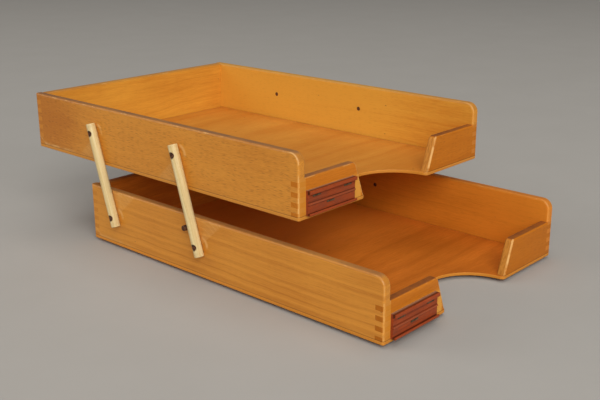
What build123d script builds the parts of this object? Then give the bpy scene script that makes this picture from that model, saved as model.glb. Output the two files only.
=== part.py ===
from build123d import *
import math
import os

# A two-tier wooden letter tray. The upper tray hangs over the lower one on four dowel links,
# two on each side, and swings forward and down on them until it rests on the lower tray.
# The object is drawn in its open pose: the links lean back and rest on two stop pegs.
# Millimetres, +Z up. The cut-out fronts with the label holders face -Y, X runs across.
# The origin is on the desk, midway along the open pair.

# Tray boards
TRAY_WIDTH = 248.0
TRAY_LENGTH = 350.0
TRAY_HEIGHT = 53.6
BOARD = 8.0
PLY = 3.0
FRONT_HEIGHT = 33.6
CORNER_RADIUS = 9.0
ARRIS = 2.0
PLY_ARRIS = 0.8
PLY_TOP_ARRIS = 0.4
PLY_REAR_ROUND = 2.8

# Finger joints: the front and back boards' fingers, counted up from the plywood
FINGER = 4.1
FIRST_FINGER = 4.25
FRONT_FINGERS = 4
BACK_FINGERS = 6
SAW_OVERRUN = 1.0

# Front boards and the hand cut-out between them
CUTOUT_RADIUS = 43.0
CUTOUT_MOUTH_ROUND = 4.0
END_FOOT_X = 44.8
END_TOP_X = 56.0
END_TOP_ROUND = 4.5

# Links, their pivot pins and the stop pegs
LINK_DIAMETER = 8.5
LINK_SPAN = 80.0
LINK_END = 9.0
LINK_END_ROUND = 0.8
LINK_GAP = 0.4
PIN_DIAMETER = 4.2
PIN_CLEARANCE = 0.08
PIN_END_ROUND = 0.35
PIN_HEAD = 5.0
PIN_HEAD_HEIGHT = 0.95
PIN_HEAD_ROUND = 0.5
HEAD_RECESS = 5.6
RECESS_FLOOR = 2.6
HEAD_FLOOR_GAP = 0.05
PIVOT_HEIGHT = 29.6
LOWER_FRONT_PIVOT = 20.8
PIVOT_SPACING = 115.6
OPEN_LEAN = 17.2
CLOSED_GAP = 0.2
PEG_DIAMETER = 5.0
PEG_OUT = 9.0
PEG_DEPTH = 6.0
PEG_UP_LINK = 17.6
PEG_GAP = 0.3
PEG_ROUND = 0.7

# Label holders: a plastic strip of C section with a rib along its middle
HOLDER_LENGTH = 56.0
HOLDER_HEIGHT = 20.0
HOLDER_BASE = 3.2
HOLDER_DEPTH = 4.9
HOLDER_SIDE_GAP = 0.3
PLATE = 2.4
SHELF = 1.2
LIP = 1.1
TOP_LIP = 2.9
BOTTOM_LIP = 1.9
RIB_CENTRE = 9.2
RIB_HEIGHT = 1.5
RIB_DEPTH = 0.7
LIP_ROUND = 0.5

# Wire staples through the label holders
STAPLE_WIDTH = 9.4
STAPLE_WIRE = 1.3
STAPLE_LEG = 1.0
STAPLE_CROWN = 0.6
STAPLE_ROUND = 0.25
STAPLE_DEPTH = 5.0
STAPLE_INSET = 9.5
STAPLE_HIGH = 15.2
STAPLE_LOW = 6.9
STAPLE_LOW_OFFSET = -2.0

# Felt pads under the lower tray
PAD_DIAMETER = 14.0
PAD_HEIGHT = 2.6
PAD_INSET_X = 16.0
PAD_INSET_Y = 20.0
PAD_ROUND = 0.3

# Where the trays stand. The links are equal and parallel, so the upper tray stays level.
RISE = LINK_SPAN * math.cos(math.radians(OPEN_LEAN))
CLOSED_LEAN = math.degrees(math.acos((TRAY_HEIGHT + CLOSED_GAP) / LINK_SPAN))
PIVOT_SETBACK = LINK_SPAN * math.sin(math.radians(CLOSED_LEAN))
SETBACK = PIVOT_SETBACK + LINK_SPAN * math.sin(math.radians(OPEN_LEAN))
LOWER_Y = (HOLDER_DEPTH - SETBACK) / 2
UPPER_FRONT_PIVOT = LOWER_FRONT_PIVOT - PIVOT_SETBACK

SIDES = {"left": -1, "right": 1}
TRAYS = {
    "lower": (Location((0, LOWER_Y, PAD_HEIGHT)), LOWER_FRONT_PIVOT),
    "upper": (Location((0, LOWER_Y + SETBACK, PAD_HEIGHT + RISE)), UPPER_FRONT_PIVOT),
}
FRONT_Y = -TRAY_LENGTH / 2
HALF_WIDTH = TRAY_WIDTH / 2
WALL_HEIGHT = TRAY_HEIGHT - PLY
LINK_X = HALF_WIDTH + LINK_GAP + LINK_DIAMETER / 2
LINK_DIRECTION = Vector(0, math.sin(math.radians(OPEN_LEAN)), math.cos(math.radians(OPEN_LEAN)))
BEHIND_LINK = Vector(0, LINK_DIRECTION.Z, -LINK_DIRECTION.Y)

os.makedirs("parts", exist_ok=True)


def save(part, name):
    """Label one finished piece and write its STEP file."""
    part.label = name
    export_step(part, f"parts/{name}.step")


def finger_levels(count):
    """Heights of the middles of the front or back board's fingers."""
    return [FIRST_FINGER + 2 * FINGER * step for step in range(count)]


def pivots(front_pivot):
    """Pivot pin centres (y, z) on a side board, front pin first."""
    return [(front_pivot, PIVOT_HEIGHT), (front_pivot + PIVOT_SPACING, PIVOT_HEIGHT)]


def stop_peg_centre():
    """Stop peg centre in the lower tray's own frame, just behind the open front link."""
    pivot = Vector(0, LOWER_FRONT_PIVOT, PIVOT_HEIGHT)
    reach = (LINK_DIAMETER + PEG_DIAMETER) / 2 + PEG_GAP
    return pivot + LINK_DIRECTION * PEG_UP_LINK + BEHIND_LINK * reach


def side_board(side, front_pivot, with_peg):
    """A full-height side board with a rounded front top corner and finger slots at both ends."""
    outer_x = side * HALF_WIDTH
    inner_x = side * (HALF_WIDTH - BOARD)
    middle_x = (outer_x + inner_x) / 2
    with BuildPart() as board:
        with BuildSketch(Plane.YZ.offset(min(outer_x, inner_x))):
            with Locations((0, PLY + WALL_HEIGHT / 2)):
                Rectangle(TRAY_LENGTH, WALL_HEIGHT)
            front_top = vertices().group_by(Axis.Y)[-1].sort_by(Axis.X)[0]
            fillet(front_top, CORNER_RADIUS)
        extrude(amount=BOARD)
        outer_face = board.faces().sort_by(Axis.X)[-1 if side > 0 else 0]
        inner_face = board.faces().sort_by(Axis.X)[0 if side > 0 else -1]
        outer_edges = outer_face.edges().filter_by(lambda edge: edge.center().Z > PLY + ARRIS)
        inner_edges = inner_face.edges().filter_by(
            lambda edge: edge.center().Z > PLY + ARRIS and edge.center().Y < -FRONT_Y - ARRIS
        )
        fillet(outer_edges + inner_edges, ARRIS)
        # The inner front arris is square again where the front board joins it.
        with Locations((inner_x + side * BOARD / 4, FRONT_Y + BOARD / 4, PLY + (FRONT_HEIGHT - PLY) / 2)):
            Box(BOARD / 2, BOARD / 2, FRONT_HEIGHT - PLY)
        # Slots for the fingers of the front and back boards.
        slot_length = BOARD + SAW_OVERRUN
        slot_y = TRAY_LENGTH / 2 - BOARD + slot_length / 2
        with Locations(*[(middle_x, -slot_y, level) for level in finger_levels(FRONT_FINGERS)]):
            Box(2 * BOARD, slot_length, FINGER, mode=Mode.SUBTRACT)
        with Locations(*[(middle_x, slot_y, level) for level in finger_levels(BACK_FINGERS)]):
            Box(2 * BOARD, slot_length, FINGER, mode=Mode.SUBTRACT)
        with BuildSketch(Plane.YZ.offset(min(outer_x, inner_x))):
            with Locations(*pivots(front_pivot)):
                Circle(PIN_DIAMETER / 2)
        extrude(amount=BOARD, mode=Mode.SUBTRACT)
        if with_peg:
            peg = stop_peg_centre()
            with BuildSketch(Plane.YZ.offset(outer_x)):
                with Locations((peg.Y, peg.Z)):
                    Circle(PEG_DIAMETER / 2)
            extrude(amount=-side * PEG_DEPTH, mode=Mode.SUBTRACT)
    return board.part


def back_board():
    """The full-height back board, its fingers reaching through the side boards."""
    back_y = TRAY_LENGTH / 2
    with BuildPart() as board:
        with BuildSketch(Plane.XY.offset(PLY)):
            with Locations((0, back_y - BOARD / 2)):
                Rectangle(TRAY_WIDTH, BOARD)
        extrude(amount=WALL_HEIGHT)
        outer_edges = board.faces().sort_by(Axis.Y)[-1].edges()
        outer_edges = outer_edges.filter_by(lambda edge: edge.center().Z > PLY + ARRIS)
        inner_top = board.faces().sort_by(Axis.Y)[0].edges().sort_by(Axis.Z)[-1]
        fillet(outer_edges + [inner_top], ARRIS)
        slots = [level + FINGER for level in finger_levels(BACK_FINGERS - 1)]
        for side in SIDES.values():
            corner_x = side * (HALF_WIDTH - BOARD / 2 + SAW_OVERRUN / 2)
            with Locations(*[(corner_x, back_y - BOARD / 2, level) for level in slots]):
                Box(BOARD + SAW_OVERRUN, 2 * BOARD, FINGER, mode=Mode.SUBTRACT)
            top_slot = finger_levels(BACK_FINGERS)[-1] + FINGER / 2
            top_height = TRAY_HEIGHT + SAW_OVERRUN - top_slot
            with Locations((corner_x, back_y - BOARD / 2, top_slot + top_height / 2)):
                Box(BOARD + SAW_OVERRUN, 2 * BOARD, top_height, mode=Mode.SUBTRACT)
    return board.part


def front_board(side, leg_holes):
    """A short low front board: fingers at the outer end, a sloped and rounded inner end."""
    with BuildPart() as board:
        with BuildSketch(Plane.XZ.offset(-FRONT_Y)):
            with BuildLine():
                Polyline(
                    (side * HALF_WIDTH, PLY),
                    (side * HALF_WIDTH, FRONT_HEIGHT),
                    (side * END_TOP_X, FRONT_HEIGHT),
                    (side * END_FOOT_X, PLY),
                    close=True,
                )
            make_face()
            top_corners = vertices().filter_by(lambda corner: corner.Y > FRONT_HEIGHT - ARRIS)
            fillet(top_corners.sort_by(lambda corner: abs(corner.X))[0], END_TOP_ROUND)
        extrude(amount=-BOARD)
        front_edges = board.faces().sort_by(Axis.Y)[0].edges()
        front_edges = front_edges.filter_by(lambda edge: edge.center().Z > PLY + ARRIS / 10)
        rear_edges = board.faces().sort_by(Axis.Y)[-1].edges().filter_by(
            lambda edge: edge.center().Z > PLY + ARRIS / 10 and abs(edge.center().X) < HALF_WIDTH - ARRIS
        )
        fillet(front_edges + rear_edges, ARRIS)
        corner_x = side * (HALF_WIDTH - BOARD / 2 + SAW_OVERRUN / 2)
        corner_y = FRONT_Y + BOARD / 2
        slots = [level + FINGER for level in finger_levels(FRONT_FINGERS)]
        with Locations(*[(corner_x, corner_y, level) for level in slots]):
            Box(BOARD + SAW_OVERRUN, 2 * BOARD, FINGER, mode=Mode.SUBTRACT)
        if leg_holes:
            with BuildSketch(Plane.XZ.offset(-FRONT_Y)):
                with Locations(*leg_holes):
                    Circle(STAPLE_LEG / 2)
            extrude(amount=-STAPLE_DEPTH, mode=Mode.SUBTRACT)
    return board.part


def bottom_panel():
    """The thin plywood bottom under all the boards, with the round hand cut-out at the front."""
    rear_y = TRAY_LENGTH / 2
    with BuildPart() as panel:
        with BuildSketch():
            RectangleRounded(TRAY_WIDTH, TRAY_LENGTH, ARRIS)
            with Locations((0, FRONT_Y)):
                Circle(CUTOUT_RADIUS, mode=Mode.SUBTRACT)
            mouth = vertices().filter_by(lambda corner: abs(abs(corner.X) - CUTOUT_RADIUS) < ARRIS / 2)
            fillet(mouth, CUTOUT_MOUTH_ROUND)
        extrude(amount=PLY)
        fillet(panel.faces().sort_by(Axis.Z)[-1].edges(), PLY_TOP_ARRIS)
        fillet(panel.faces().sort_by(Axis.Z)[0].edges(), PLY_ARRIS)
        # The underside is sanded rounder along the rear edge.
        with BuildSketch(Plane.YZ.offset(-HALF_WIDTH)):
            with Locations((rear_y - PLY_REAR_ROUND / 2, PLY_REAR_ROUND / 2)):
                Rectangle(PLY_REAR_ROUND, PLY_REAR_ROUND)
            with Locations((rear_y - PLY_REAR_ROUND, PLY_REAR_ROUND)):
                Circle(PLY_REAR_ROUND, mode=Mode.SUBTRACT)
        extrude(amount=TRAY_WIDTH, mode=Mode.SUBTRACT)
    return panel.part


def staple_places():
    """Staple centres (x, z) in a label holder: one near each end and one low in the middle."""
    start_x = -HALF_WIDTH + BOARD + HOLDER_SIDE_GAP
    high = HOLDER_BASE + STAPLE_HIGH
    return [
        (start_x + STAPLE_INSET, high),
        (start_x + HOLDER_LENGTH - STAPLE_INSET, high),
        (start_x + HOLDER_LENGTH / 2 + STAPLE_LOW_OFFSET, HOLDER_BASE + STAPLE_LOW),
    ]


def staple_legs():
    """Centres (x, z) of all the staples' legs."""
    reach = (STAPLE_WIDTH - STAPLE_WIRE) / 2
    return [(x + offset, z) for x, z in staple_places() for offset in (-reach, reach)]


def label_holder():
    """The C-shaped strip that grips a paper label, stapled to the left front board's face."""
    base = HOLDER_BASE
    top = HOLDER_BASE + HOLDER_HEIGHT
    rib_low = HOLDER_BASE + RIB_CENTRE - RIB_HEIGHT / 2
    rib_high = rib_low + RIB_HEIGHT
    section = [
        (0, base),
        (HOLDER_DEPTH, base),
        (HOLDER_DEPTH, base + BOTTOM_LIP),
        (HOLDER_DEPTH - LIP, base + BOTTOM_LIP),
        (HOLDER_DEPTH - LIP, base + SHELF),
        (PLATE, base + SHELF),
        (PLATE, rib_low),
        (PLATE + RIB_DEPTH, rib_low),
        (PLATE + RIB_DEPTH, rib_high),
        (PLATE, rib_high),
        (PLATE, top - SHELF),
        (HOLDER_DEPTH - LIP, top - SHELF),
        (HOLDER_DEPTH - LIP, top - TOP_LIP),
        (HOLDER_DEPTH, top - TOP_LIP),
        (HOLDER_DEPTH, top),
        (0, top),
    ]
    with BuildPart() as holder:
        with BuildSketch(Plane.YZ.offset(-HALF_WIDTH + BOARD + HOLDER_SIDE_GAP)):
            with BuildLine():
                Polyline(*[(FRONT_Y - depth, height) for depth, height in section], close=True)
            make_face()
            front_corners = vertices().filter_by(lambda corner: corner.X < FRONT_Y - HOLDER_DEPTH + LIP / 2)
            fillet(front_corners, LIP_ROUND)
        extrude(amount=HOLDER_LENGTH)
        with BuildSketch(Plane.XZ.offset(-FRONT_Y)):
            with Locations(*staple_legs()):
                Circle(STAPLE_LEG / 2)
        extrude(amount=PLATE, mode=Mode.SUBTRACT)
    return holder.part


def label_staples():
    """The wire staples that hold one label holder, as one group of solids."""
    with BuildPart() as staples:
        with BuildSketch(Plane.XZ.offset(-FRONT_Y - STAPLE_DEPTH)):
            with Locations(*staple_legs()):
                Circle(STAPLE_LEG / 2)
        extrude(amount=STAPLE_DEPTH + PLATE)
        with BuildSketch(Plane.XZ.offset(-FRONT_Y + PLATE)):
            with Locations(*staple_places()):
                SlotOverall(STAPLE_WIDTH, STAPLE_WIRE)
        extrude(amount=STAPLE_CROWN)
        fillet(staples.faces().group_by(Axis.Y)[0].edges(), STAPLE_ROUND)
    return staples.part


def pivot_pin(side, pivot):
    """A headed steel pin from the inside of the side board to a recess in the link's outer side."""
    inner_end = side * (HALF_WIDTH - BOARD)
    head_base = side * (LINK_X + RECESS_FLOOR + HEAD_FLOOR_GAP)
    with BuildPart() as pin:
        with BuildSketch(Plane.YZ.offset(inner_end)):
            with Locations(pivot):
                Circle(PIN_DIAMETER / 2)
        extrude(amount=head_base - inner_end)
        inner_rim = pin.faces().sort_by(Axis.X)[0 if side > 0 else -1].edges()
        fillet(inner_rim, PIN_END_ROUND)
        with BuildSketch(Plane.YZ.offset(head_base)):
            with Locations(pivot):
                Circle(PIN_HEAD / 2)
        extrude(amount=side * PIN_HEAD_HEIGHT)
        outer_rim = pin.faces().sort_by(Axis.X)[-1 if side > 0 else 0].edges()
        fillet(outer_rim, PIN_HEAD_ROUND)
    return pin.part


def stop_peg(side):
    """The short steel peg that the open front link leans on."""
    centre = stop_peg_centre()
    inner_end = side * (HALF_WIDTH - PEG_DEPTH)
    outer_end = side * (HALF_WIDTH + PEG_OUT)
    with BuildPart() as peg:
        with BuildSketch(Plane.YZ.offset(min(inner_end, outer_end))):
            with Locations((centre.Y, centre.Z)):
                Circle(PEG_DIAMETER / 2)
        extrude(amount=PEG_DEPTH + PEG_OUT)
        outer_rim = peg.faces().sort_by(Axis.X)[-1 if side > 0 else 0].edges()
        fillet(outer_rim, PEG_ROUND)
    return peg.part


def link(side, pivot_y):
    """A dowel link leaning back at the open angle, bored for a pin at each end."""
    low_pivot = Vector(side * LINK_X, pivot_y, PIVOT_HEIGHT)
    high_pivot = low_pivot + LINK_DIRECTION * LINK_SPAN
    foot = low_pivot - LINK_DIRECTION * LINK_END
    with BuildPart() as dowel:
        with BuildSketch(Plane(origin=foot, x_dir=(1, 0, 0), z_dir=LINK_DIRECTION)):
            Circle(LINK_DIAMETER / 2)
        extrude(amount=LINK_SPAN + 2 * LINK_END)
        fillet(dowel.edges().filter_by(GeomType.CIRCLE), LINK_END_ROUND)
        with BuildSketch(Plane.YZ.offset(side * LINK_X)):
            with Locations((low_pivot.Y, low_pivot.Z), (high_pivot.Y, high_pivot.Z)):
                Circle(PIN_DIAMETER / 2 + PIN_CLEARANCE)
        extrude(amount=LINK_DIAMETER, both=True, mode=Mode.SUBTRACT)
        # A round recess for each pin's head in the outer side.
        with BuildSketch(Plane.YZ.offset(side * (LINK_X + RECESS_FLOOR))):
            with Locations((low_pivot.Y, low_pivot.Z), (high_pivot.Y, high_pivot.Z)):
                Circle(HEAD_RECESS / 2)
        extrude(amount=side * LINK_DIAMETER, mode=Mode.SUBTRACT)
    return dowel.part


def felt_pad(side, end):
    """A thin round felt pad under one corner of the lower tray; end is -1 front, 1 rear."""
    centre = (side * (HALF_WIDTH - PAD_INSET_X), end * (TRAY_LENGTH / 2 - PAD_INSET_Y))
    with BuildPart() as pad:
        with BuildSketch(Plane.XY.offset(-PAD_HEIGHT)):
            with Locations(centre):
                Circle(PAD_DIAMETER / 2)
        extrude(amount=PAD_HEIGHT)
        fillet(pad.faces().sort_by(Axis.Z)[0].edges(), PAD_ROUND)
    return pad.part


for tray, (place, front_pivot) in TRAYS.items():
    save(back_board().moved(place), f"{tray}_back")
    save(bottom_panel().moved(place), f"{tray}_bottom")
    save(label_holder().moved(place), f"{tray}_label_holder")
    save(label_staples().moved(place), f"{tray}_label_staples")
    for side_name, side in SIDES.items():
        board = side_board(side, front_pivot, with_peg=tray == "lower")
        save(board.moved(place), f"{tray}_{side_name}_side")
        leg_holes = staple_legs() if side_name == "left" else []
        save(front_board(side, leg_holes).moved(place), f"{tray}_front_{side_name}")
        for end_name, pivot in zip(("front", "rear"), pivots(front_pivot)):
            save(pivot_pin(side, pivot).moved(place), f"{tray}_pin_{end_name}_{side_name}")

lower_place = TRAYS["lower"][0]
for side_name, side in SIDES.items():
    save(stop_peg(side).moved(lower_place), f"stop_peg_{side_name}")
    for end_name, (pivot_y, _) in zip(("front", "rear"), pivots(LOWER_FRONT_PIVOT)):
        save(link(side, pivot_y).moved(lower_place), f"link_{end_name}_{side_name}")
    for end_name, end in (("front", -1), ("rear", 1)):
        save(felt_pad(side, end).moved(lower_place), f"pad_{end_name}_{side_name}")
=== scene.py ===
import math

import bpy
from mathutils import Euler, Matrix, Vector


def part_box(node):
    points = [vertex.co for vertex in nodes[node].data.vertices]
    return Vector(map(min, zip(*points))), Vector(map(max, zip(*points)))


# Looks for the two-tier wooden letter tray. Every piece is a CAD node with a procedural
# material of its own; lengths inside the materials are millimetres.

MM = 1000.0

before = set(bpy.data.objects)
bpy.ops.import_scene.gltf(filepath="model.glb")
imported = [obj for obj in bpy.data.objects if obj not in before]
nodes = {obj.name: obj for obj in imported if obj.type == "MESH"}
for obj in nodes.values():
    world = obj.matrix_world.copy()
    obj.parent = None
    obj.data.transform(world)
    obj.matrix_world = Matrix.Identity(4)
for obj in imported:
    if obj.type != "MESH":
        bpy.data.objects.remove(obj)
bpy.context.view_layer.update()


# ---------------------------------------------------------------- node maths


class Field:
    """A shader value that can be added, multiplied and compared like a number."""

    def __init__(self, graph, socket):
        self.graph = graph
        self.socket = socket

    def __add__(self, other):
        return self.graph.math("ADD", self, other)

    __radd__ = __add__

    def __sub__(self, other):
        return self.graph.math("SUBTRACT", self, other)

    def __rsub__(self, other):
        return self.graph.math("SUBTRACT", other, self)

    def __mul__(self, other):
        return self.graph.math("MULTIPLY", self, other)

    __rmul__ = __mul__

    def __truediv__(self, other):
        return self.graph.math("DIVIDE", self, other)

    def __abs__(self):
        return self.graph.math("ABSOLUTE", self)


class Graph:
    """Builds one material's node tree from plain expressions."""

    def __init__(self, name):
        self.material = bpy.data.materials.new(name)
        self.material.use_nodes = True
        self.tree = self.material.node_tree
        self.shader = self.tree.nodes["Principled BSDF"]
        place = self.node("ShaderNodeTexCoord")
        self.x, self.y, self.z = [axis * MM for axis in self.split(place.outputs["Object"])]
        self.nx, self.ny, self.nz = self.split(place.outputs["Normal"])

    def node(self, kind):
        return self.tree.nodes.new(kind)

    def link(self, value, socket):
        if isinstance(value, Field):
            self.tree.links.new(value.socket, socket)
        elif isinstance(value, bpy.types.NodeSocket):
            self.tree.links.new(value, socket)
        elif isinstance(value, tuple) and len(value) == 3 and socket.type == "RGBA":
            socket.default_value = (*value, 1.0)
        else:
            socket.default_value = value

    def math(self, kind, *values):
        node = self.node("ShaderNodeMath")
        node.operation = kind
        for value, socket in zip(values, node.inputs):
            self.link(value, socket)
        return Field(self, node.outputs[0])

    def split(self, vector):
        node = self.node("ShaderNodeSeparateXYZ")
        self.link(vector, node.inputs[0])
        return [Field(self, out) for out in node.outputs]

    def vector(self, x, y, z):
        node = self.node("ShaderNodeCombineXYZ")
        for value, socket in zip((x, y, z), node.inputs):
            self.link(value, socket)
        return node.outputs[0]

    def least(self, *values):
        result = values[0]
        for value in values[1:]:
            result = self.math("MINIMUM", result, value)
        return result

    def most(self, *values):
        result = values[0]
        for value in values[1:]:
            result = self.math("MAXIMUM", result, value)
        return result

    def step(self, value, start, end):
        """Smooth change from 0 to 1 as value goes from start to end, which may be the lower one."""
        node = self.node("ShaderNodeMapRange")
        node.interpolation_type = "SMOOTHSTEP"
        settings = (value, end, start, 1.0, 0.0) if start > end else (value, start, end, 0.0, 1.0)
        for setting, socket in zip(settings, node.inputs[:5]):
            self.link(setting, socket)
        return Field(self, node.outputs[0])

    def noise(self, vector, detail=2.0, roughness=0.5):
        node = self.node("ShaderNodeTexNoise")
        self.link(vector, node.inputs["Vector"])
        node.inputs["Scale"].default_value = 1.0
        node.inputs["Detail"].default_value = detail
        node.inputs["Roughness"].default_value = roughness
        return Field(self, node.outputs[0])

    def line_noise(self, value, detail=2.0, roughness=0.5):
        node = self.node("ShaderNodeTexNoise")
        node.noise_dimensions = "1D"
        self.link(value, node.inputs["W"])
        node.inputs["Scale"].default_value = 1.0
        node.inputs["Detail"].default_value = detail
        node.inputs["Roughness"].default_value = roughness
        return Field(self, node.outputs[0])

    def cells(self, vector):
        """Distance to the nearest scattered point, and that point's random number."""
        node = self.node("ShaderNodeTexVoronoi")
        self.link(vector, node.inputs["Vector"])
        node.inputs["Scale"].default_value = 1.0
        node.inputs["Randomness"].default_value = 1.0
        red = self.split(node.outputs["Color"])[0]
        return Field(self, node.outputs["Distance"]), red

    def mix(self, amount, first, second):
        node = self.node("ShaderNodeMix")
        node.data_type = "RGBA"
        self.link(amount, node.inputs[0])
        self.link(first, node.inputs[6])
        self.link(second, node.inputs[7])
        return node.outputs[2]

    def bump(self, height):
        """Surface relief from a height in millimetres."""
        node = self.node("ShaderNodeBump")
        node.inputs["Strength"].default_value = 1.0
        node.inputs["Distance"].default_value = 1.0 / MM
        self.link(height, node.inputs["Height"])
        self.tree.links.new(node.outputs[0], self.shader.inputs["Normal"])


# ---------------------------------------------------------------- shared places


def box_mm(node):
    low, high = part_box(node)
    return low * MM, high * MM


TRAYS = {}
for tray in ("lower", "upper"):
    low, high = box_mm(f"{tray}_bottom")
    TRAYS[tray] = {"middle": (low + high) / 2, "base": low.z}
side_low, side_high = box_mm("lower_left_side")
BOARD = side_high.x - side_low.x
PLY = side_low.z - TRAYS["lower"]["base"]
TRAY_TOP = side_high.z - TRAYS["lower"]["base"]
HALF_WIDTH = -side_low.x
HALF_LENGTH = (side_high.y - side_low.y) / 2
CORNER_RADIUS = 9.0
FRONT_TOP = box_mm("lower_front_left")[1].z - TRAYS["lower"]["base"]

# The label holders' ribs and lips, as heights above the strip's lower edge.
RIB_LEVEL = 9.2
TOP_LIP = 2.9
BOTTOM_LIP = 1.9

# How the links lean when the tray is open and when it is closed, how far the links' ends reach past
# the pivots, how far from a pivot the rubbed fans are at full strength, and the recess round a pin.
LEAN = math.radians(17.2)
CLOSED = math.radians(-47.7)
LINK_REACH = 7.4
FAN_REACH = 30.0
RECESS_RADIUS = 2.8


def pin_middle(tray, end, side):
    low, high = box_mm(f"{tray}_pin_{end}_{side}")
    return (low + high) / 2


def pivots_in_tray(tray):
    """(y, z) of a tray's front and rear pivots, in that tray's own frame."""
    places = []
    for end in ("front", "rear"):
        middle = pin_middle(tray, end, "left")
        places.append((middle.y - TRAYS[tray]["middle"].y, middle.z - TRAYS[tray]["base"]))
    return places


def joint_places(link):
    """(y, z) of the pins at a link's two ends, in the whole object's frame."""
    _, end, side = link.split("_")
    middles = [pin_middle(tray, end, side) for tray in TRAYS]
    return [(middle.y, middle.z) for middle in middles]


# ---------------------------------------------------------------- colours (linear)

HONEY = (0.70, 0.285, 0.034)
BUTTER = (0.76, 0.365, 0.045)
AMBER = (0.50, 0.165, 0.014)
GINGER = (0.72, 0.235, 0.022)
CHESTNUT = (0.58, 0.19, 0.014)
RUSSET = (0.50, 0.145, 0.009)
TOFFEE = (0.24, 0.066, 0.008)
BARK = (0.60, 0.22, 0.022)
BRICK = (0.42, 0.106, 0.006)
RUST = (0.75, 0.214, 0.020)
STRAW = (0.65, 0.28, 0.038)
RESIDUE = (0.78, 0.37, 0.06)
WORN = (0.86, 0.53, 0.20)
# This tone darkens the nicks, and it is also the painted shade in floor corners and along the plywood
# seam.
GRIME_AND_SHADE = (0.075, 0.026, 0.007)
# The next three tones darken tops and arrises: partly handling grime, partly painted shade and a painted
# grey sheen.
HANDLED_AND_SHADED = (0.19, 0.095, 0.048)
STAINED_AND_SHADED = (0.20, 0.062, 0.018)
SHOULDER_GRIME_AND_SHADE = (0.30, 0.115, 0.025)
CUT = (0.62, 0.27, 0.050)
JOINT = (0.64, 0.245, 0.028)
PALE = (0.78, 0.62, 0.32)
PALE_DARK = (0.60, 0.41, 0.155)
PORE = (0.42, 0.24, 0.08)
LINK_END = (0.45, 0.29, 0.13)
SMUDGE = (0.45, 0.25, 0.09)
SOCKET_GRIME_AND_SHADE = (0.10, 0.045, 0.022)
PLASTIC = (0.35, 0.056, 0.011)
PLASTIC_DARK = (0.24, 0.034, 0.008)
PLASTIC_DRAWN = (0.38, 0.095, 0.038)
PLASTIC_SHADE = (0.13, 0.020, 0.006)
PLASTIC_LIP = (0.40, 0.075, 0.020)
PLASTIC_RIB_HIGHLIGHT = (0.42, 0.105, 0.040)
PLASTIC_GROOVE_SHADE = (0.045, 0.010, 0.005)
PLASTIC_DUST = (0.30, 0.13, 0.07)
LEDGE_DUST = (0.30, 0.21, 0.13)
STAPLE = (0.13, 0.095, 0.055)
STAPLE_DARK = (0.05, 0.032, 0.016)
PIN = (0.15, 0.058, 0.028)
PIN_DARK = (0.035, 0.014, 0.008)
# This tone is painted light on the pins' shanks.
SHANK_PAINTED_LIGHT = (0.42, 0.17, 0.04)
FELT = (0.085, 0.065, 0.050)
FELT_DARK = (0.030, 0.022, 0.018)
DESK = (0.41, 0.392, 0.365)
DESK_DARK = (0.38, 0.362, 0.335)


# ---------------------------------------------------------------- boards and plywood


class Board(Graph):
    """A board's graph: x, y, z and the box are in its own tray's frame, and shift tells boards apart."""

    def __init__(self, node, grain, seed):
        super().__init__(f"wood_{node}")
        tray = TRAYS[node.split("_")[0]]
        place = Vector((0.0, tray["middle"].y, tray["base"]))
        low, high = box_mm(node)
        self.name = node
        self.kind = next(word for word in ("side", "back", "front", "bottom") if word in node)
        self.low, self.high = low - place, high - place
        self.y, self.z = self.y - place.y, self.z - place.z
        x, y, z = self.x, self.y, self.z
        self.along, self.across, self.deep = {"y": (y, z, x), "x": (x, z, y), "floor": (x, y, z)}[grain]
        self.shift = seed * 37.0
        self.rub = self.noise(self.vector(x / 14.0, y / 14.0 + self.shift, z / 14.0), 3.0, 0.65)
        self.upward = self.step(self.nz, 0.70, 0.97)

    def beyond(self, value, limit, start, end):
        """Rises from 0 to 1 between start and end millimetres inside the limit, on both sides."""
        return self.step(abs(value), limit - start, limit - end)


def growth(b, ring, sway, wave, streak):
    """Rings about a pith line that lies off the board, and the fibre, tone and pores along them."""
    pith_across, pith_deep, ring_width = ring
    along, across, deep, shift = b.along, b.across, b.deep, b.shift
    slow = b.vector(along / 150.0 + shift, across / 60.0, deep / 60.0)
    quick = b.vector(along / 30.0 + shift, across / 16.0, deep / 16.0)
    wander = (b.noise(slow, 1.0) - 0.5) * sway + (b.noise(quick, 1.0) - 0.5) * (2.0 + wave)
    off_across = across - pith_across
    off_deep = deep - pith_deep
    radius = b.math("SQRT", off_across * off_across + off_deep * off_deep) + wander
    band = b.line_noise(radius / ring_width + shift, 3.0, 0.62)
    late = b.step(b.line_noise(radius / (ring_width * 0.45) + shift * 2.0, 1.0), 0.60, 0.72)
    level = across + wander * (0.3 + wave * 0.1)
    fibre = b.noise(b.vector(along / streak + shift, level / 0.85, deep / 0.85), 3.0, 0.62)
    tone = b.noise(b.vector(along / 90.0 + shift, across / 40.0, deep / 40.0), 2.0)
    dash_far, dash_pick = b.cells(b.vector(along / 6.5 + shift, level / 0.95, deep / 0.95))
    dash = b.step(dash_far, 0.50, 0.10) * b.step(dash_pick, 0.15, 0.75)
    return band, late, fibre, tone, dash


def outer_face(b):
    """The faces that look out of the tray, apart from the front."""
    facing = b.most(b.beyond(b.x, HALF_WIDTH, 1.6, 0.8), b.step(b.y, HALF_LENGTH - 1.6, HALF_LENGTH - 0.8))
    return facing * b.step(b.y, BOARD - HALF_LENGTH, BOARD - HALF_LENGTH + 6.0)


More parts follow.
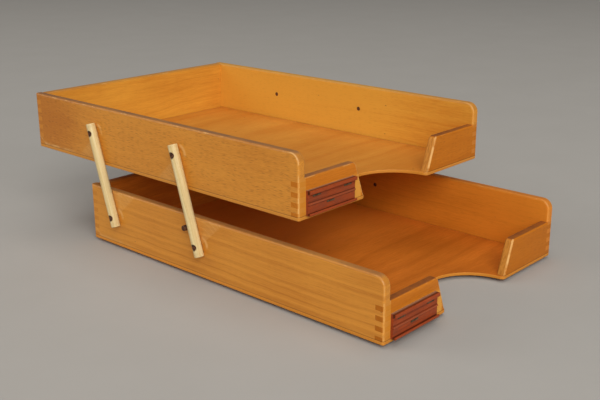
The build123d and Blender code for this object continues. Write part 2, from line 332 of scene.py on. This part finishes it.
def end_grain(b, colour, finger, finger_tone):
    """Finger ends on the tray's outer faces, and the paler sawn ends beside the hand cut-out."""
    sawn = b.step(abs(b.nx), 0.55, 0.8)
    outside = b.beyond(b.x, HALF_WIDTH, 2.4, 1.2)
    inner = sawn * (1.0 - outside)
    colour = b.mix(inner * 0.7, colour, CUT)
    rays = b.noise(b.vector(b.y / 0.9 + b.shift, b.z / 9.0 + b.x / 9.0, 0.0), 2.0, 0.65)
    colour = b.mix(inner * b.step(rays, 0.42, 0.66) * 0.5, colour, TOFFEE)
    pores = b.noise(b.vector(b.x / 3.0, b.y / 0.8 + b.shift, b.z / 0.8), 2.0, 0.7)
    flat = outside * b.step(abs(b.nx), 0.80, 0.97)
    return b.mix(flat * finger * (0.6 + pores * 0.8), colour, finger_tone)


def front_corner(b, colour, corner_match):
    """The fingers' front faces match the side board, and glue shows as a pale patch by the holder."""
    corner = b.beyond(b.x, HALF_WIDTH - BOARD, 0.4, -0.4) * b.step(b.ny, -0.3, -0.7)
    colour = b.mix(corner * corner_match, colour, JOINT)
    if b.name.endswith("front_left"):
        holder_end = box_mm(b.name.replace("front_left", "label_holder"))[1].x
        ripple = b.line_noise(b.z / 4.5 + b.shift, 2.0, 0.6)
        beside = b.step(b.x - holder_end - (ripple - 0.5) * 9.0, 12.0, 9.0) * (1.0 - corner)
        residue = beside * b.step(b.ny, -0.8, -0.95)
        colour = b.mix(residue * b.step(b.z, PLY + 22.0, PLY + 17.0) * 0.8, colour, RESIDUE)
    return colour


def handled_and_shaded(b, colour, top, top_tone, arris):
    """Tops and their shoulders darkened: partly grime from hands and dust, partly painted shade and a
    painted grey sheen that tone down how the lamps light them.
    """
    colour = b.mix(b.upward * top * (0.55 + b.rub * 0.9), colour, top_tone)
    shoulder = b.step(b.nz, 0.10, 0.45) * (1.0 - b.upward)
    return b.mix(shoulder * arris * (0.5 + b.rub * 0.8), colour, SHOULDER_GRIME_AND_SHADE)


def front_joint(b):
    """The height of a side board that the front board's fingers take up."""
    return b.step(b.z, FRONT_TOP + 1.0, FRONT_TOP - 1.0)


def general_wear(b, edge, wear):
    """Patches along all of a board's arrises."""
    return b.step(edge + (b.rub - 0.5) * 2.0, 1.5, 0.8) * b.step(b.rub, 0.54, 0.68) * wear


def worn_side(b, dx, dy, dz, wear):
    """Wear along a side's arrises, its round corner and its lower rear corner."""
    beyond_y = b.most(-HALF_LENGTH + CORNER_RADIUS - b.y, 0.0)
    beyond_z = b.most(b.z - TRAY_TOP + CORNER_RADIUS, 0.0)
    rounded = CORNER_RADIUS - b.math("SQRT", beyond_y * beyond_y + beyond_z * beyond_z)
    edge = b.most(b.least(dy, dz, rounded), dx)
    fore = b.step(b.y, -HALF_LENGTH + 14.0, -HALF_LENGTH + 5.0)
    chips = b.noise(b.vector(b.x / 5.0, b.y / 7.0 + b.shift, b.z / 5.0), 2.0, 0.6)
    worn = b.most(general_wear(b, edge, wear), b.step(edge, 1.6, 0.7) * b.step(chips, 0.66, 0.72) * wear)
    worn = b.most(worn, b.step(edge, 1.3, 0.7) * fore * b.step(b.rub, 0.36, 0.56) * wear)
    # the lower rear corner has lost its lacquer along a line that climbs towards the corner
    to_rear = HALF_LENGTH - b.y
    climb = b.step(to_rear, 12.0, 0.0) * 7.0 + 1.4
    low_line = b.step(abs(b.z - PLY - climb), 1.7, 0.5) * b.step(to_rear, 75.0, 30.0)
    worn = b.most(worn, low_line * b.step(b.rub, 0.32, 0.55) * wear * 0.8)
    inner_half = b.step(abs(b.x), HALF_WIDTH - BOARD + 3.0, HALF_WIDTH - BOARD + 1.5)
    return worn * (1.0 - front_joint(b) * inner_half)


def worn_end_board(b, dx, dy, dz, wear):
    """Wear along a front or back board's arrises, most of all on its inner end and outer corner."""
    edge = b.most(b.least(dx, dz), dy)
    turned = b.step(abs(b.nx), 0.15, 0.4) * (1.0 - b.step(abs(b.nx), 0.80, 0.95))
    turned = turned * b.step(b.ny, -0.1, -0.4)
    inner_end = b.step(abs(b.x), 66.0, 52.0) * turned
    worn = b.most(general_wear(b, edge, wear), inner_end * b.step(b.rub, 0.30, 0.55) * 1.1)
    outer_arris = b.beyond(b.x, HALF_WIDTH, 3.0, 1.8) * turned
    return b.most(worn, outer_arris * b.step(b.rub, 0.36, 0.56) * wear)


def worn_places(b, wear):
    """Arrises: the middle one of the distances to the board's faces is small there."""
    dx = b.least(b.x - b.low.x, b.high.x - b.x)
    dy = b.least(b.y - b.low.y, b.high.y - b.y)
    dz = b.high.z - b.z
    if b.kind == "side":
        return worn_side(b, dx, dy, dz, wear)
    if b.kind == "bottom":
        return b.step(b.least(dx, dy), 1.6, 0.4) * b.step(b.rub, 0.52, 0.66) * wear
    return worn_end_board(b, dx, dy, dz, wear)


def nicks(b):
    """Small dents."""
    far, pick = b.cells(b.vector(b.along / 24.0 + b.shift, b.across / 13.0, b.deep / 13.0))
    return b.step(far, 0.06, 0.025) * b.step(pick, 0.6, 0.66)


def ply_edge(b, colour):
    """Paler sawn edge of the plywood, with its middle ply darker."""
    rim = 1.0 - b.step(abs(b.nz), 0.4, 0.75)
    colour = b.mix(rim * 0.75, colour, HONEY)
    return b.mix(rim * b.step(abs(b.z - PLY / 2), 0.62, 0.5) * 0.14, colour, TOFFEE)


def corner_shade_and_glue_line(b):
    """Painted shade: darker in the floor's inner corners, in the seam above the plywood, which also holds
    a dark glue line, and over the boards' lowest 7 mm.
    """
    if b.kind == "bottom":
        wall = b.least(HALF_WIDTH - BOARD - abs(b.x), HALF_LENGTH - BOARD - b.y)
        floor = b.step(b.nz, 0.6, 0.9)
        return b.step(wall, 1.2, 0.0) * floor * 0.16 + b.step(wall, 14.0, 0.0) * floor * 0.10
    outer = b.most(b.beyond(b.x, HALF_WIDTH, 1.5, 0.5), b.beyond(b.y, HALF_LENGTH, 1.5, 0.5))
    glue_line_and_shade = b.step(b.z - PLY, 0.9, 0.2) * (0.12 + outer * 0.34)
    return glue_line_and_shade + b.step(b.z - PLY, 7.0, 0.0) * 0.06


def link_rubs(b):
    """Pale fans and crescents that the links have rubbed on the outer face of a side board."""
    marks = None
    tray = b.name.split("_")[0]
    for pivot_y, pivot_z in pivots_in_tray(tray):
        from_y = b.y - pivot_y
        from_z = b.z - pivot_z
        if tray == "upper":
            from_y, from_z = from_y * -1.0, from_z * -1.0
        far = b.math("SQRT", from_y * from_y + from_z * from_z)
        angle = b.math("ARCTAN2", from_y, from_z)
        swept = b.step(angle, CLOSED - 0.05, CLOSED + 0.02) * b.step(angle, LEAN + 0.15, LEAN)
        fan = swept * b.step(far, FAN_REACH + 16.0, FAN_REACH)
        ahead = b.step(b.y - pivot_y, 1.0, -3.0)
        crescent = b.step(abs(far - LINK_REACH), 2.4, 0.4) * ahead * b.step(b.z - pivot_z, -3.0, 1.0)
        streak = b.line_noise(far / 1.4 + b.shift, 2.0, 0.7)
        patch = fan * (0.10 + b.step(streak, 0.45, 0.7) * 0.16 + b.step(b.rub, 0.5, 0.7) * 0.15)
        patch = b.most(patch, crescent * b.step(b.rub, 0.25, 0.5) * 0.55)
        marks = patch if marks is None else b.most(marks, patch)
    return marks * b.step(abs(b.x), HALF_WIDTH - 1.0, HALF_WIDTH - 0.3)


def wood(node, grain, seed, light=HONEY, dark=AMBER, ring=(-300.0, 20.0, 5.0), sway=22.0, wave=0.0,
         contrast=0.3, figure=0.62, streak=13.0, fleck=0.4, shade=0.0,
         rear=0.0, rear_span=(75.0, 150.0), front=0.0, front_span=(-20.0, -HALF_LENGTH),
         wear=0.5, finger=0.2, finger_tone=TOFFEE, top=0.5, top_tone=HANDLED_AND_SHADED, arris=0.5,
         corner_match=0.0, shine=0.34, gloss=0.38, rubs=False):
    """Lacquered beech: growth rings, fibre, flecks, end grain, tops and shoulders darkened by handling and
    by painted shade, and worn arrises.

    ring is the pith line's place across and deep in the board, and the rings' width. sway and wave
    bend the rings, contrast and figure are the strength of rings and fibre. shade darkens the whole
    board, rear and front darken it along their spans of y. wear, finger, top and arris are shares.
    """
    b = Board(node, grain, seed)
    band, late, fibre, tone, dash = growth(b, ring, sway, wave, streak)
    depth = 0.46 + (band - 0.5) * contrast * 3.2 + late * contrast * 0.55 + (fibre - 0.5) * figure
    depth = depth + (tone - 0.5) * 0.7 + shade
    if rear:
        depth = depth + b.step(b.y + (tone - 0.5) * 60.0, *rear_span) * rear
    if front:
        depth = depth + b.step(b.y + (tone - 0.5) * 60.0, *front_span) * front
    if b.kind in ("side", "back"):
        # the outer faces of the two trays are of one tone, whatever tone and painted shade the inside is
        # given
        facing = outer_face(b)
        light = b.mix(facing, light, HONEY)
        dark = b.mix(facing, dark, AMBER)
    colour = b.mix(b.step(depth, 0.0, 1.0), light, dark)
    colour = b.mix(dash * fleck * 0.5, colour, TOFFEE)

    if b.kind in ("back", "front"):
        colour = end_grain(b, colour, finger, finger_tone)
    if b.kind == "front":
        colour = front_corner(b, colour, corner_match)
    if b.kind == "side":
        colour = b.mix(b.step(b.ny, -0.75, -0.97) * front_joint(b) * finger, colour, finger_tone)
    if b.kind != "bottom":
        colour = handled_and_shaded(b, colour, top, top_tone, arris)
    worn = worn_places(b, wear)
    colour = b.mix(worn * 0.62, colour, WORN)
    nick = nicks(b)
    colour = b.mix(nick * 0.42, colour, GRIME_AND_SHADE)
    if rubs:
        colour = b.mix(link_rubs(b), colour, WORN)
    if b.kind == "bottom":
        colour = ply_edge(b, colour)
    # painted shade in the floor's corners and along the seam above the plywood
    colour = b.mix(b.least(corner_shade_and_glue_line(b), 0.75), colour, GRIME_AND_SHADE)

    b.link(colour, b.shader.inputs["Base Color"])
    rough = gloss + (fibre - 0.5) * 0.12 + worn * 0.2 + nick * 0.3 + (b.rub - 0.5) * 0.14 + b.upward * 0.06
    b.link(rough, b.shader.inputs["Roughness"])
    b.shader.inputs["Specular IOR Level"].default_value = shine
    b.bump(fibre * 0.03 - dash * 0.02 - nick * 0.3 + band * 0.01)
    paint(node, b.material)


def paint(node, material):
    """Put one material on every slot of a CAD node."""
    mesh = nodes[node].data
    if not mesh.materials:
        mesh.materials.append(material)
    for index in range(len(mesh.materials)):
        mesh.materials[index] = material


wood("upper_left_side", "y", 1, wave=5.0, contrast=0.14, figure=1.1, streak=7.0, fleck=0.9, shade=-0.12,
     rear=0.50, wear=0.9, finger=0.8, finger_tone=JOINT, top=0.75, arris=0.55, rubs=True)
wood("upper_right_side", "y", 2, light=BUTTER, dark=CHESTNUT, ring=(260.0, 60.0, 7.0), contrast=0.2,
     figure=0.75, fleck=0.25, shade=-0.48, front=0.58, wear=0.3, finger=0.9, finger_tone=CHESTNUT,
     top=0.4, gloss=0.42)
wood("upper_back", "x", 3, light=BUTTER, ring=(-260.0, 60.0, 7.0), contrast=0.14, figure=0.6, fleck=0.2,
     shade=-0.08, finger=0.9, finger_tone=BARK, top=0.4)
wood("upper_front_left", "x", 4, light=GINGER, dark=RUSSET, contrast=0.15, fleck=0.3, shade=0.12,
     finger=0.16, top=0.7, arris=0.3, corner_match=0.85, shine=0.1)
wood("upper_front_right", "x", 5, light=CHESTNUT, dark=RUSSET, contrast=0.2, figure=1.3, fleck=0.6,
     wear=0.2, finger=0.1, top=0.85, top_tone=STAINED_AND_SHADED, arris=0.1, shine=0.08)
wood("upper_bottom", "floor", 6, light=STRAW, ring=(40.0, -90.0, 22.0), contrast=0.22, fleck=0.1,
     shade=0.10, front=0.22, wear=0.1, gloss=0.42)
wood("lower_left_side", "y", 7, ring=(-420.0, -60.0, 3.7), sway=5.0, contrast=0.33, figure=0.75,
     streak=22.0, fleck=0.3, shade=-0.08, rear=-0.2, finger=0.8, finger_tone=JOINT, top=0.6, arris=0.4,
     rubs=True)
# Painted shade: darker and redder towards the rear, where the upper tray shades this inner wall and red
# light bounces in.
wood("lower_right_side", "y", 8, light=GINGER, dark=RUSSET, ring=(260.0, 60.0, 7.0), contrast=0.16,
     figure=0.7, fleck=0.25, shade=-0.30, rear=0.28, rear_span=(-150.0, -60.0), wear=0.3, finger=0.6,
     finger_tone=CHESTNUT, top=0.4, top_tone=STAINED_AND_SHADED, arris=0.4, shine=0.2)
# Painted shade: the darker red tones stand for the upper tray's shadow on this board's inner face.
wood("lower_back", "x", 9, light=RUST, dark=BRICK, ring=(-260.0, 60.0, 7.0), contrast=0.18, figure=0.9,
     fleck=0.3, shade=0.25, finger=0.9, finger_tone=BARK)
wood("lower_front_left", "x", 10, light=GINGER, dark=RUSSET, contrast=0.15, fleck=0.3, shade=0.22,
     finger=0.34, top=0.85, top_tone=STAINED_AND_SHADED, arris=0.15, corner_match=0.85, shine=0.1)
wood("lower_front_right", "x", 11, light=CHESTNUT, dark=RUSSET, contrast=0.2, figure=1.3, fleck=0.6,
     shade=0.25, wear=0.2, finger=0.1, top=0.85, top_tone=STAINED_AND_SHADED, arris=0.1, shine=0.08)
# Painted light and shade: lighter where the floor lies under the upper tray, darker and redder towards the
# open front, standing for how the trays shade it and bounce red light onto it.
wood("lower_bottom", "floor", 12, light=RUST, dark=BRICK, ring=(40.0, -90.0, 22.0), contrast=0.14,
     fleck=0.1, shade=-0.38, front=0.60, front_span=(60.0, -110.0), wear=0.1, shine=0.2, gloss=0.48)


# ---------------------------------------------------------------- dowels, plastic, steel and felt


def dowel(node, seed):
    """Bare waxed dowel: straight fibre along the leaning link, end grain, grime at the pins and painted
    shade in the recesses round them.
    """
    low, high = box_mm(node)
    middle = (low + high) / 2
    g = Graph(f"dowel_{node}")
    y, z = g.y - middle.y, g.z - middle.z
    sine, cosine = math.sin(LEAN), math.cos(LEAN)
    along = y * sine + z * cosine
    side = y * cosine - z * sine
    x = g.x - middle.x
    shift = seed * 19.0
    fibre = g.noise(g.vector(along / 26.0 + shift, side / 0.6, x / 0.6), 3.0, 0.6)
    band = g.noise(g.vector(along / 120.0 + shift, side / 2.2, x / 2.2), 2.0, 0.5)
    depth = g.step(0.42 + (band - 0.5) * 1.3 + (fibre - 0.5) * 1.1, 0.1, 1.0)
    colour = g.mix(depth, PALE, PALE_DARK)
    dash_far, dash_pick = g.cells(g.vector(along / 3.4 + shift, side / 0.7, x / 0.7))
    dash = g.step(dash_far, 0.40, 0.14) * g.step(dash_pick, 0.40, 0.6)
    colour = g.mix(dash * 0.25, colour, PORE)
    cut = abs(g.ny * sine + g.nz * cosine)
    colour = g.mix(g.step(cut, 0.6, 0.9) * 0.5, colour, LINK_END)
    rub = g.noise(g.vector(x / 9.0, y / 9.0 + shift, z / 9.0), 3.0, 0.6)
    smudge = g.step(abs(along), 32.0, 52.0) * g.step(rub, 0.42, 0.7)
    colour = g.mix(smudge * 0.25, colour, SMUDGE)
    outward = g.step(x * (1.0 if node.endswith("right") else -1.0), 0.5, 1.5)
    for pin_y, pin_z in joint_places(node):
        from_y = g.y - pin_y
        from_z = g.z - pin_z
        far = g.math("SQRT", from_y * from_y + from_z * from_z)
        # A grime ring round each pin's recess, and painted shade inside the recess.
        ring = g.step(far, RECESS_RADIUS + 0.7, RECESS_RADIUS + 0.1)
        stain = ring * g.step(abs(g.nx), 0.7, 0.9) * outward
        hollow_shade = g.step(far, RECESS_RADIUS + 0.15, RECESS_RADIUS - 0.05) * outward
        colour = g.mix(g.most(stain * 0.45, hollow_shade * 0.85), colour, SOCKET_GRIME_AND_SHADE)
    g.link(colour, g.shader.inputs["Base Color"])
    g.link(0.48 + (fibre - 0.5) * 0.15 + smudge * 0.1, g.shader.inputs["Roughness"])
    g.shader.inputs["Specular IOR Level"].default_value = 0.35
    g.bump(fibre * 0.03 - dash * 0.015)
    paint(node, g.material)


for seed, name in enumerate(sorted(n for n in nodes if n.startswith("link_"))):
    dowel(name, seed + 1)


def label_plastic(node, seed):
    """Red-brown extruded plastic: draw lines along the strip, painted shade in the grooves, a painted
    highlight on the mid rib, dust and rubbed lips.
    """
    low, high = box_mm(node)
    g = Graph(f"plastic_{node}")
    x, y, z = g.x - low.x, g.y - low.y, g.z - low.z
    height = high.z - low.z
    draw = g.noise(g.vector(x / 70.0 + seed * 11.0, y / 0.45, z / 0.45), 2.0, 0.6)
    broad = g.noise(g.vector(x / 90.0 + seed * 11.0, y / 1.6, z / 1.6), 1.0, 0.6)
    cloud = g.noise(g.vector(x / 9.0 + seed * 11.0, y / 5.0, z / 5.0), 3.0, 0.6)
    colour = g.mix(g.step(cloud, 0.3, 0.7), PLASTIC, PLASTIC_DARK)
    colour = g.mix(g.step(draw, 0.38, 0.62) * 0.30, colour, PLASTIC_DRAWN)
    colour = g.mix(g.step(broad, 0.52, 0.66) * 0.45, colour, PLASTIC_SHADE)
    lip = g.step(y, 1.0, 0.3)
    colour = g.mix(lip * 0.35, colour, PLASTIC_LIP)
    # Painted highlight: a lighter band along the mid rib.
    rib_highlight = g.step(abs(z - RIB_LEVEL), 0.9, 0.6) * g.step(y, 2.6, 2.2) * (1.0 - lip)
    colour = g.mix(rib_highlight * 0.5, colour, PLASTIC_RIB_HIGHLIGHT)
    # Painted shade: dark in the grooves under the top lip, above the bottom lip and beside the rib.
    under_top_lip = g.step(z, height - TOP_LIP - 1.0, height - TOP_LIP)
    groove_shade = g.most(under_top_lip, g.step(z, BOTTOM_LIP + 0.3, BOTTOM_LIP - 0.3))
    beside_rib = g.step(abs(abs(z - RIB_LEVEL) - 1.2), 0.55, 0.2)
    groove_shade = g.most(groove_shade, beside_rib * 0.7) * g.step(y, 1.05, 1.25) * (1.0 - g.step(y, 3.0, 3.4))
    colour = g.mix(groove_shade * 0.7, colour, PLASTIC_GROOVE_SHADE)
    dust = g.step(y, 1.2, 2.2) * g.step(cloud, 0.35, 0.7) * (1.0 - groove_shade)
    colour = g.mix(dust * 0.16, colour, PLASTIC_DUST)
    ledge = g.step(g.nz, 0.8, 0.95) * g.step(z, height - 1.0, height - 0.3)
    colour = g.mix(ledge * g.step(y, 2.0, 4.2) * 0.65, colour, LEDGE_DUST)
    g.link(colour, g.shader.inputs["Base Color"])
    g.link(0.44 + (draw - 0.5) * 0.2 + dust * 0.25, g.shader.inputs["Roughness"])
    g.shader.inputs["Specular IOR Level"].default_value = 0.15
    g.bump(draw * 0.06 + cloud * 0.04)
    paint(node, g.material)


def metal(node, base, rust, seed, roughness):
    """Dark oxidised steel with brown bloom and fine scratches."""
    g = Graph(f"steel_{node}")
    bloom = g.noise(g.vector(g.x / 1.6 + seed * 7.0, g.y / 1.6, g.z / 1.6), 4.0, 0.65)
    scratch = g.noise(g.vector(g.x / 6.0, g.y / 0.2 + seed * 7.0, g.z / 0.2), 2.0, 0.6)
    colour = g.mix(g.step(bloom, 0.42, 0.66), base, rust)
    if "_pin_" in node:
        # the shank between the side board and the link is painted a pale rust-brown, painted light that
        # lifts the shade in that gap
        out = abs(g.x) - HALF_WIDTH
        shank = g.step(out, -0.5, 0.0) * g.step(out, 5.0, 3.0)
        colour = g.mix(shank * 0.9, colour, SHANK_PAINTED_LIGHT)
    g.link(colour, g.shader.inputs["Base Color"])
    g.shader.inputs["Metallic"].default_value = 0.3
    g.shader.inputs["Specular IOR Level"].default_value = 0.25
    g.link(roughness + (bloom - 0.5) * 0.3 + (scratch - 0.5) * 0.15, g.shader.inputs["Roughness"])
    g.bump(bloom * 0.04 + scratch * 0.01)
    paint(node, g.material)


def felt(node, seed):
    """Dark felt: short fibres in all directions and a soft sheen."""
    g = Graph(f"felt_{node}")
    hair = g.noise(g.vector(g.x / 0.35 + seed, g.y / 0.35, g.z / 0.35), 4.0, 0.75)
    colour = g.mix(g.step(hair, 0.35, 0.65), FELT_DARK, FELT)
    g.link(colour, g.shader.inputs["Base Color"])
    g.shader.inputs["Roughness"].default_value = 0.95
    g.shader.inputs["Sheen Weight"].default_value = 0.4
    g.bump(hair * 0.25)
    paint(node, g.material)


for seed, tray in enumerate(TRAYS):
    label_plastic(f"{tray}_label_holder", seed + 1)
    metal(f"{tray}_label_staples", STAPLE, STAPLE_DARK, seed + 3, 0.5)
for seed, name in enumerate(sorted(n for n in nodes if "_pin_" in n or n.startswith("stop_peg"))):
    metal(name, PIN, PIN_DARK, seed + 9, 0.55)
for seed, name in enumerate(sorted(n for n in nodes if n.startswith("pad_"))):
    felt(name, seed * 3.0)


# ---------------------------------------------------------------- stage, lights, camera


def floor_material():
    """Plain pale desk surface with a barely visible mottle."""
    g = Graph("stage_floor")
    mottle = g.noise(g.vector(g.x / 90.0, g.y / 90.0, g.z / 90.0), 4.0, 0.6)
    colour = g.mix(mottle, DESK_DARK, DESK)
    g.link(colour, g.shader.inputs["Base Color"])
    g.shader.inputs["Roughness"].default_value = 0.75
    g.shader.inputs["Specular IOR Level"].default_value = 0.2
    return g.material


FLOOR_RADIUS = 14.0

bpy.ops.mesh.primitive_circle_add(vertices=96, radius=FLOOR_RADIUS, fill_type="NGON", location=(0, 0, 0))
floor = bpy.context.object
floor.name = "stage_floor"
floor.data.materials.append(floor_material())

ROOM_COLOUR = (0.62, 0.60, 0.575, 1.0)
ROOM_STRENGTH = 0.16

world = bpy.data.worlds.new("studio")
bpy.context.scene.world = world
world.use_nodes = True
background = world.node_tree.nodes["Background"]
background.inputs["Color"].default_value = ROOM_COLOUR
background.inputs["Strength"].default_value = ROOM_STRENGTH


def softbox(name, place, aim, size, power, colour):
    """A large rectangular area light at place, turned towards aim."""
    light = bpy.data.lights.new(name, "AREA")
    light.shape = "RECTANGLE"
    light.size, light.size_y = size
    light.energy = power
    light.color = colour
    lamp = bpy.data.objects.new(name, light)
    bpy.context.scene.collection.objects.link(lamp)
    lamp.location = place
    lamp.rotation_euler = (Vector(aim) - Vector(place)).to_track_quat("-Z", "Y").to_euler()


# Light places and sizes are metres, and their powers watts.
CENTRE = (0.0, 0.0, 0.06)
softbox("key", (-2.2, -3.4, 3.4), CENTRE, (2.8, 2.4), 108.0, (1.0, 0.985, 0.96))
softbox("window", (-3.4, -3.0, 2.1), CENTRE, (3.2, 2.0), 96.0, (1.0, 0.985, 0.96))
softbox("front", (0.0, -4.6, 1.5), CENTRE, (3.2, 2.0), 36.0, (1.0, 0.98, 0.95))
softbox("top", (0.0, 0.0, 4.6), CENTRE, (4.0, 4.0), 80.0, (1.0, 0.99, 0.97))
softbox("rear", (-2.6, 3.4, 2.4), CENTRE, (2.8, 2.4), 48.0, (1.0, 0.98, 0.95))

# The camera's place is given from the middle of the lower tray's underside, in metres.
CAMERA_X, CAMERA_Y, CAMERA_Z = -0.61769, -0.54476, 0.30816
CAMERA_TURN = (72.2804, 0.1801, -47.6328)
LENS = 56.03

camera_data = bpy.data.cameras.new("camera")
camera = bpy.data.objects.new("camera", camera_data)
bpy.context.scene.collection.objects.link(camera)
camera_data.sensor_width = 36.0
camera_data.lens = LENS
camera_data.clip_start = 0.01
camera_data.clip_end = 100.0
lower_low, lower_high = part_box("lower_bottom")
lower_middle = (lower_low + lower_high) / 2
camera.location = (CAMERA_X, lower_middle.y + CAMERA_Y, lower_low.z + CAMERA_Z)
camera.rotation_euler = Euler([math.radians(a) for a in CAMERA_TURN], "XYZ")
bpy.context.scene.camera = camera

bpy.context.scene.view_settings.view_transform = "Standard"
